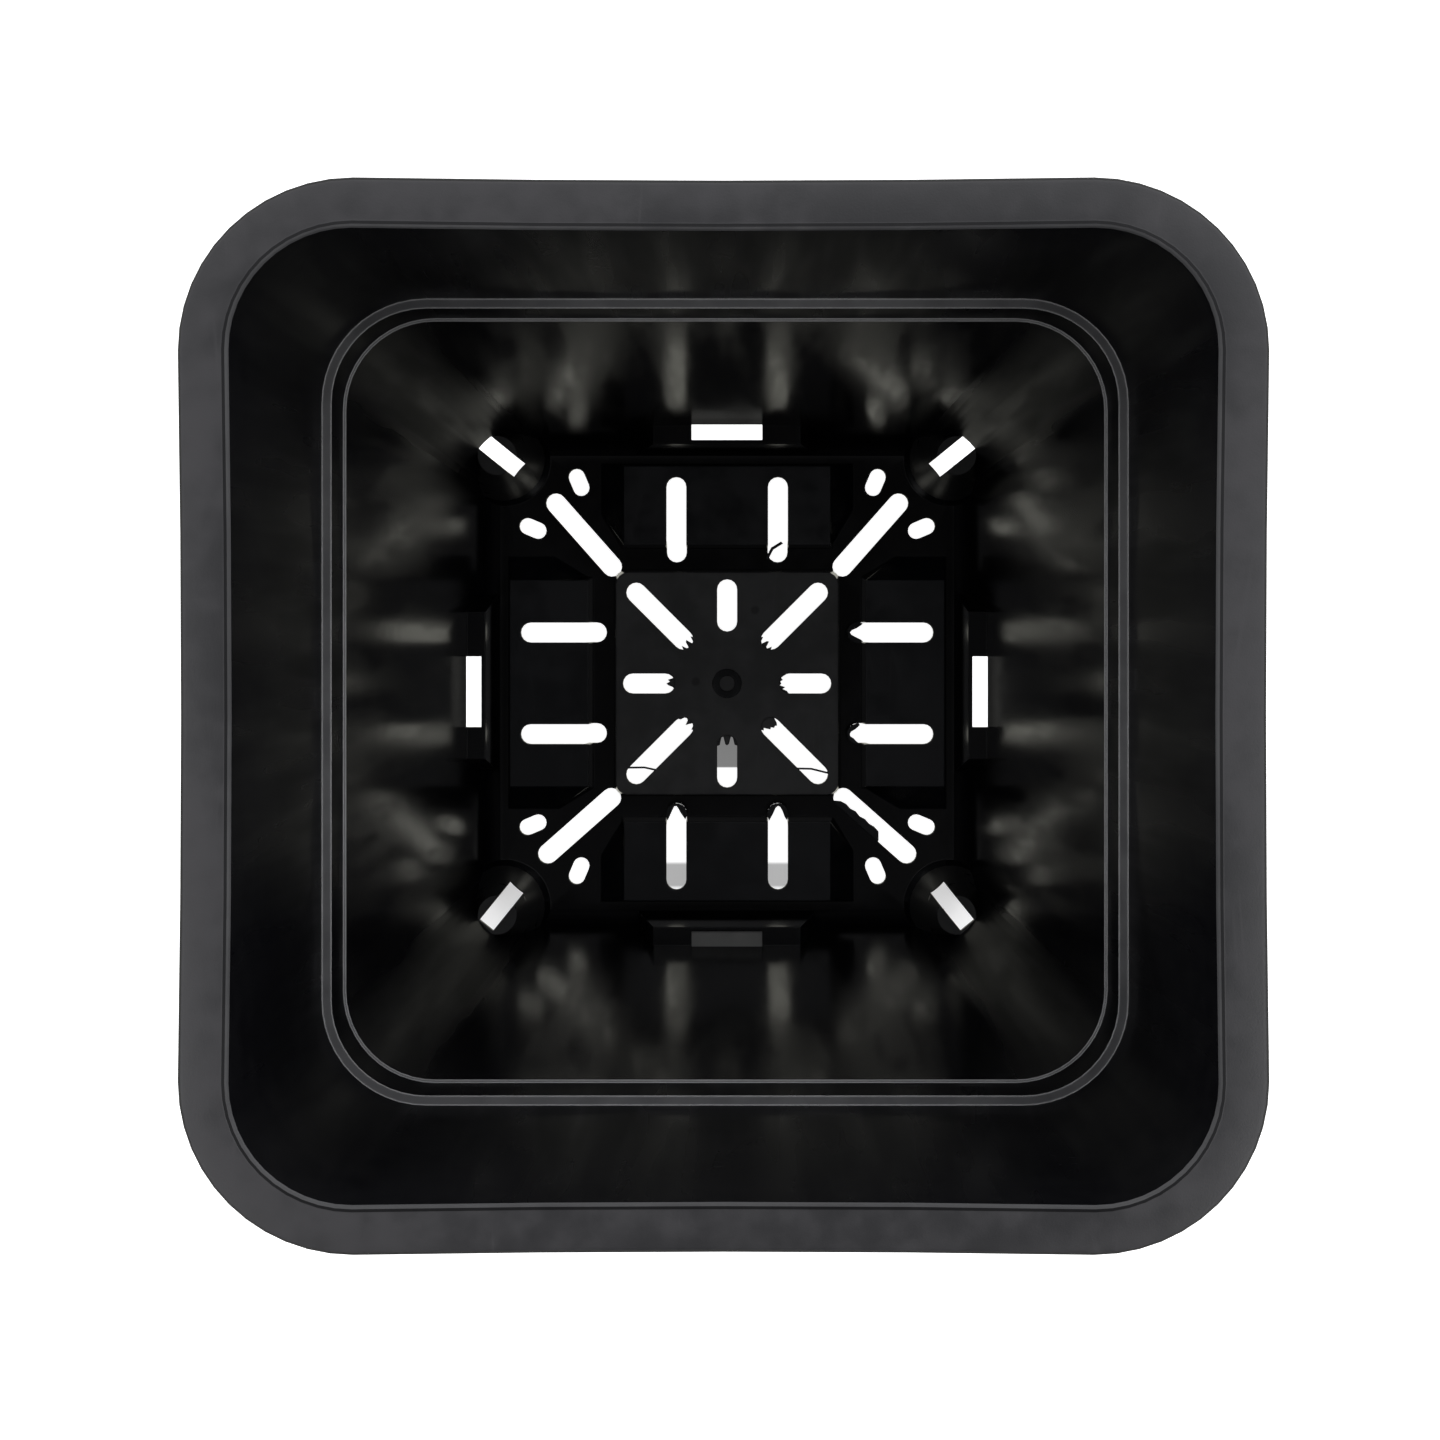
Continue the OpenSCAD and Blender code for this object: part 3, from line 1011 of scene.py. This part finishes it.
@dataclass(frozen=True)
class Studio:
    """The pale floor and the light round the pot.

    Attributes:
        shades: Painted shades, darker parts of the floor.
        lamps: The soft lights.
        corner: Distance of the shadow corners' centres from the middle planes.
        foot: Half width of the floor that stays white under the pot.
        foot_soft: Width over which that white fades out.
        shadow: Where the pot's shadow begins to fade and where it ends, from the pot's axis.
        floor_half: Half width of the floor.
        floor_drop: How far the floor lies under the pot's foot.
        floor_levels: Brightness of the floor where it is shaded and where it is plain.
        floor_rough: Roughness of the floor.
        mirror_glow: How bright the floor shows in reflections, where 1 is white.
        mirror_tint: Colour of the floor in reflections.
        sky: Brightness of the surroundings.
        sky_tint: Their colour.
        sky_top: Brightness straight overhead, where the camera stands in the light.
        sky_lean: How much brighter the surroundings are towards the right and the back.
        lean_sine: Sine of the angle from the pot's axis at which that lean is full.
        dark_lean: How far the dark patch overhead lies towards the back, as a sine.
        dark_reach: Where that patch begins to fade and where it ends, as sines from its middle.
    """

    shades: tuple[Shade, ...]
    lamps: tuple[Lamp, ...]
    corner: float = 0.056
    foot: float = 0.072
    foot_soft: float = 0.008
    shadow: Span = (0.095, 0.128)
    floor_half: float = 2.5
    floor_drop: float = 0.0002
    floor_levels: Span = (0.02, 0.85)
    floor_rough: float = 0.9
    mirror_glow: float = 0.58
    mirror_tint: Colour = (1.0, 0.99, 0.87)
    sky: float = 0.8
    sky_tint: Colour = (0.97, 0.975, 1.0)
    sky_top: float = 0.03
    sky_lean: Point = (0.12, 0.7)
    lean_sine: float = 0.3
    dark_lean: float = 0.06
    dark_reach: Span = (0.05, 0.48)

    def whiteness(self, nodes: Nodes) -> tuple[Socket, object]:
        """Computes how white each point of the floor shows.

        Args:
            nodes: The nodes of the floor's material.

        Returns:
            Two masks from 0 to 1: the white that shows, and the painted shades alone.
        """
        x, y, _ = nodes.split(nodes.add("ShaderNodeTexCoord").outputs["Object"])
        beyond = []
        for value in (x, y):
            past = nodes.math("SUBTRACT", nodes.math("ABSOLUTE", value), self.corner)
            beyond.append(nodes.math("MAXIMUM", past, 0.0))
        away = nodes.math("ADD", nodes.distance(*beyond), self.corner)
        under = nodes.ramp(away, self.foot, self.foot + self.foot_soft, 1.0, 0.0)
        white = nodes.math("MAXIMUM", under, nodes.ramp(away, *self.shadow))
        shaded: object = 1.0
        for shade in self.shades:
            parts = []
            for value, middle, half in zip((x, y), shade.middle, shade.half):
                gap = nodes.math("ABSOLUTE", nodes.math("SUBTRACT", value, middle))
                parts.append(nodes.ramp(gap, half, half + shade.soft, 1.0, 0.0))
            inside = nodes.math("MULTIPLY", *parts)
            level = nodes.ramp(inside, 0.0, 1.0, 1.0, shade.level)
            shaded = nodes.math("MULTIPLY", shaded, level)
        return nodes.math("MULTIPLY", white, shaded), shaded

    def floor(self) -> bpy.types.Object:
        """Lays the floor.

        Returns:
            The floor.
        """
        side = self.floor_half
        corners = [(-side, -side, 0.0), (side, -side, 0.0), (side, side, 0.0), (-side, side, 0.0)]
        mesh = bpy.data.meshes.new("studio_floor")
        mesh.from_pydata(corners, [], [(0, 1, 2, 3)])
        floor = bpy.data.objects.new("studio_floor", mesh)
        bpy.context.scene.collection.objects.link(floor)
        floor.location.z = -self.floor_drop
        material = bpy.data.materials.new("studio_floor")
        material.use_nodes = True
        nodes = Nodes(material.node_tree)
        shader = material.node_tree.nodes["Principled BSDF"]
        white, shaded = self.whiteness(nodes)
        dark, pale = self.floor_levels
        nodes.put(shader.inputs["Base Color"], nodes.colours(shaded, grey(dark), grey(pale)))
        shader.inputs["Roughness"].default_value = self.floor_rough
        paths = nodes.add("ShaderNodeLightPath")
        mirrored = paths.outputs["Is Glossy Ray"]
        seen = nodes.math("MAXIMUM", paths.outputs["Is Camera Ray"], paths.outputs["Is Transmission Ray"])
        glow = nodes.math("MAXIMUM", seen, nodes.math("MULTIPLY", mirrored, self.mirror_glow))
        warm = nodes.colours(mirrored, grey(1.0), opaque(self.mirror_tint))
        nodes.put(shader.inputs["Emission Color"], warm)
        nodes.put(shader.inputs["Emission Strength"], nodes.math("MULTIPLY", glow, white))
        mesh.materials.append(material)
        return floor

    def surroundings(self) -> None:
        """Sets the light that comes from all round, with a dark patch overhead."""
        world = bpy.data.worlds.new("studio")
        world.use_nodes = True
        nodes = Nodes(world.node_tree)
        x, y, z = nodes.split(nodes.add("ShaderNodeTexCoord").outputs["Generated"])
        away = nodes.distance(x, nodes.math("SUBTRACT", y, self.dark_lean))
        ring = nodes.ramp(away, *self.dark_reach, self.sky_top, self.sky)
        overhead = nodes.math("MULTIPLY_ADD", nodes.math("LESS_THAN", z, 0.0), self.sky, ring)
        leans = []
        for value, lean in zip((x, y), self.sky_lean):
            leans.append(nodes.ramp(value, -self.lean_sine, self.lean_sine, 1.0 - lean, 1.0 + lean))
        unseen = nodes.math("MULTIPLY", overhead, nodes.math("MULTIPLY", *leans))
        seen = nodes.add("ShaderNodeLightPath").outputs["Is Camera Ray"]
        unseen = nodes.math("MULTIPLY", unseen, nodes.math("SUBTRACT", 1.0, seen))
        background = world.node_tree.nodes["Background"]
        nodes.put(background.inputs["Color"], nodes.colours(seen, opaque(self.sky_tint), grey(1.0)))
        nodes.put(background.inputs["Strength"], nodes.math("ADD", unseen, seen))
        bpy.context.scene.world = world

    def build(self) -> None:
        """Lays the floor, sets the surroundings and hangs the lamps."""
        self.floor()
        self.surroundings()
        for lamp in self.lamps:
            lamp.hang()


def pot_finishes() -> tuple[PlasticFinish, ...]:
    """Lists the finishes of the pot.

    Returns:
        One finish for each zone.
    """
    return (
        PlasticFinish(
            Zone.LIP, dark=(0.011, 0.011, 0.013), pale=(0.026, 0.025, 0.028),
            rough=(0.4, 0.56), grain_height=0.00002, wave_height=0.00005,
            scratches=0.4, specular=0.62,
        ),
        # The bead's paler colour is a painted highlight on its rounded top.
        PlasticFinish(
            Zone.BEAD_HIGHLIGHT, dark=(0.034, 0.034, 0.036), pale=(0.048, 0.048, 0.050),
            rough=(0.35, 0.5), edge_r=0.0,
        ),
        # The bead's foot is darker: a painted shade in the groove between the lip and the bead.
        PlasticFinish(
            Zone.BEAD_FOOT_SHADE, dark=(0.008, 0.008, 0.009), pale=(0.013, 0.013, 0.014),
            rough=(0.5, 0.6), edge_r=0.0, specular=0.15,
        ),
        PlasticFinish(
            Zone.EDGE, dark=(0.007, 0.007, 0.008), pale=(0.011, 0.011, 0.011),
            rough=(0.42, 0.55), edge_r=0.0, specular=0.18,
        ),
        # The ledges carry a painted highlight along their sharp edges.
        PlasticFinish(
            Zone.LEDGE, dark=(0.075, 0.075, 0.079), pale=(0.112, 0.112, 0.116),
            rough=(0.45, 0.6), grain_height=0.00001, wave_height=0.00002,
            edge_r=0.0007, painted_edge_highlight=0.5,
        ),
        PlasticFinish(
            Zone.COLLAR, dark=(0.003, 0.003, 0.004), pale=(0.006, 0.006, 0.007),
            rough=(0.26, 0.38), drawn_height=0.00001,
            scratches=0.1, specular=0.04, corner_dull=0.05, edge_r=0.0003,
        ),
        PlasticFinish(
            Zone.WALL, dark=(0.003, 0.003, 0.004), pale=(0.006, 0.006, 0.007),
            rough=(0.15, 0.27), wave_height=0.00005, drawn_height=0.00003,
            scratches=0.12, specular=0.12, corner_dull=0.18, edge_r=0.0003,
        ),
        PlasticFinish(
            Zone.PLATE, dark=(0.036, 0.036, 0.037), pale=(0.062, 0.062, 0.063),
            rough=(0.28, 0.42), grain_height=0.00001, wave_height=0.00003,
            spots=((0.0073, 0.0192), (-0.0082, 0.0005)),
        ),
        PlasticFinish(
            Zone.PAD, dark=(0.005, 0.006, 0.008), pale=(0.010, 0.011, 0.014),
            rough=(0.15, 0.26), wave_height=0.00001,
            spots=((0.0005, 0.0425), (0.0, -0.0449)),
        ),
        PlasticFinish(
            Zone.FLOOR, dark=(0.002, 0.002, 0.003), pale=(0.004, 0.004, 0.005),
            rough=(0.11, 0.18), wave_height=0.00001, specular=0.35,
        ),
        PlasticFinish(
            Zone.FOOT, dark=(0.003, 0.003, 0.004), pale=(0.005, 0.005, 0.006),
            rough=(0.5, 0.6), edge_r=0.0, specular=0.05,
        ),
        PlasticFinish(
            Zone.ARCH, dark=(0.016, 0.016, 0.017), pale=(0.028, 0.028, 0.029),
            rough=(0.42, 0.54), wave_height=0.00002, edge_r=0.0004,
        ),
        PlasticFinish(
            Zone.FRONT, dark=(0.003, 0.003, 0.004), pale=(0.005, 0.005, 0.006),
            rough=(0.14, 0.22), edge_r=0.0, lean=0.1,
        ),
        # Grey of the sheet of painted shade in the front arch slot.
        PlasticFinish(
            Zone.SLOT_SHADE_SHEET, dark=(0.18, 0.18, 0.175), pale=(0.22, 0.22, 0.21),
            rough=(0.5, 0.6), scratches=0.1, edge_r=0.0,
        ),
        PlasticFinish(
            Zone.OUTSIDE, dark=(0.009, 0.009, 0.010), pale=(0.015, 0.015, 0.015),
            rough=(0.26, 0.38), grain_height=0.000003, wave_height=0.00002,
            specular=0.25,
        ),
    )


def plate_webs() -> tuple[Web, ...]:
    """Lists the webs of flash in the centre plate's slots.

    Returns:
        The ragged inner ends and two threads.
    """
    slot_along = 13.6
    slot_width = 5.2
    web_z = 9.0
    thread_width = 0.5
    thread_z = 9.2
    ends = (
        (0.0, (0.0, 1.9, 1.1, 0.5, 1.0, 0.3, 0.6, 0.2, 1.6, 0.9, 2.0, 2.4, 0.0)),
        (45.0, (0.0, 0.4, 1.7, 0.3, 0.2, 1.6, 1.9, 0.4, 0.3, 1.5, 0.5, 0.3, 0.0)),
        (135.0, (0.0, 0.3, 0.5, 1.8, 0.4, 0.2, 1.7, 2.0, 0.3, 0.5, 1.9, 0.6, 0.0)),
        (180.0, (0.0, 0.4, 0.9, 0.3, 0.6, 1.8, 2.3, 1.4, 1.9, 0.5, 0.2, 0.8, 0.0)),
        (225.0, (0.0, 0.3, 1.6, 0.4, 0.2, 0.9, 1.8, 0.5, 0.3, 0.2, 1.7, 1.9, 0.0)),
        (270.0, (0.0, 2.6, 2.4, 0.4, 0.3, 2.2, 2.6, 2.3, 0.4, 0.3, 2.5, 2.7, 0.0)),
        (315.0, (0.0, 1.2, 2.8, 3.4, 3.1, 3.3, 2.6, 2.9, 2.2, 1.4, 1.9, 0.6, 0.0)),
    )
    webs = [SlotFrame(angle, slot_along, slot_width, web_z).end_web(reach) for angle, reach in ends]
    webs.append(thread((-26.2, -22.0), (-17.2, -22.9), thread_width, thread_z))
    webs.append(thread((17.4, -22.2), (26.4, -23.4), thread_width, thread_z))
    return tuple(webs)


def low_webs() -> tuple[Web, ...]:
    """Lists the webs of flash in the pads' slots and in the front right foot's slot.

    Returns:
        The pointed ends, one thread and the web along the foot's slot.
    """
    slot_along = 31.8
    slot_across = 13.3
    slot_width = 5.2
    web_z = 6.85
    ends = (
        (0.0, slot_across, (0.0, 3.8, 3.1, 2.2, 0.9, 0.4, 0.8, 1.9, 3.1, 3.9, 0.0)),
        (0.0, -slot_across, (0.0, 3.0, 2.4, 1.7, 0.7, 0.4, 0.5, 1.4, 1.9, 2.6, 0.0)),
        (270.0, slot_across, (0.0, 4.1, 3.2, 1.6, 0.6, 0.4, 0.9, 2.2, 3.3, 4.3, 0.0)),
        (270.0, -slot_across, (0.0, 3.9, 3.1, 2.3, 1.2, 0.4, 0.5, 1.7, 3.0, 4.2, 0.0)),
    )
    webs = [
        SlotFrame(angle, slot_along, slot_width, web_z, across=across).end_web(reach)
        for angle, across, reach in ends
    ]
    webs.append(thread((10.4, 32.6), (14.4, 36.9), width=0.8, z=7.0))
    foot = SlotFrame(angle=315.0, along=40.57, width=slot_width, z=0.3, turn=3.5)
    foot_reach = (0.3, 1.5, 1.9, 1.7, 2.1, 1.8, 2.2, 2.0, 2.3, 2.1, 0.3)
    webs.append(foot.side_web(start=1.2, reach=foot_reach, step=1.6))
    return tuple(webs)


def arch_slot_shade_sheet() -> Web:
    """Draws a grey sheet in the slot of the front drain arch, a painted shade that stands for the shade seen
    through that slot.

    Returns:
        The sheet, a little sunk into the slot's sides.
    """
    half = 9.15
    inner_y = -62.4
    outer_y = -66.65
    across = (-half, 0.0, half)
    return Web(tuple((x, inner_y) for x in across), tuple((x, outer_y) for x in across), z=27.0)


def floor_shades() -> tuple[Shade, ...]:
    """Lists the painted shades on the floor, the parts that show darker through the slots.

    Returns:
        The painted shades.
    """
    return (
        Shade((0.0, -0.0182), (0.004, 0.004), level=0.2, soft=0.0006),
        Shade((-0.0135, -0.051), (0.004, 0.0024), level=0.4, soft=0.0016),
        Shade((0.0135, -0.051), (0.004, 0.0024), level=0.42, soft=0.0016),
        Shade((-0.062, -0.062), (0.007, 0.007), level=0.54, soft=0.005),
        Shade((0.062, -0.062), (0.007, 0.007), level=0.56, soft=0.005),
    )


def main() -> None:
    """Dresses the pot and sets the studio, and reports each piece."""
    logging.basicConfig(level=logging.INFO, format="%(message)s")
    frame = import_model()
    pot = Pot(
        lip_z=223.9 * MM,
        skirt_z=215.0 * MM,
        rim_centre=68.0 * MM,
        bead_half=95.0 * MM,
        ledge_z=(130.0 * MM, 155.0 * MM),
        arch_z=28.3 * MM,
        arch_top_z=24.3 * MM,
        foot_z=6.2 * MM,
        pad_z=8.3 * MM,
        plate_z=9.8 * MM,
        wall_half=57.9 * MM,
        outer_half=41.36 * MM,
        centre_half=28.95 * MM,
        wall_rise=(0.1, 0.16),
        smooth_angle=24.0,
        finishes=pot_finishes(),
    )
    pot.dress(frame["nodes"]["pot"])
    LOG.info("pot: dressed in %d finishes", len(pot.finishes))
    for flash, zone in (
        (Flash("plate_flash", plate_webs()), Zone.PLATE),
        (Flash("low_flash", low_webs()), Zone.PAD),
        # The front sheet is a painted shade in the front arch slot, not flash.
        (Flash("front_slot_shade_sheet", (arch_slot_shade_sheet(),)), Zone.SLOT_SHADE_SHEET),
    ):
        flash.build(pot.materials[zone])
        LOG.info("%s: %d webs", flash.name, len(flash.webs))
    lamps = (Lamp("soft_left", (-1.0, -0.6, 1.3)), Lamp("soft_right", (1.0, -0.6, 1.3)))
    Studio(floor_shades(), lamps).build()
    Camera().hang()
    bpy.context.scene.view_settings.view_transform = "Standard"
    LOG.info("studio: floor, lights and camera set")


if __name__ == "__main__":
    main()
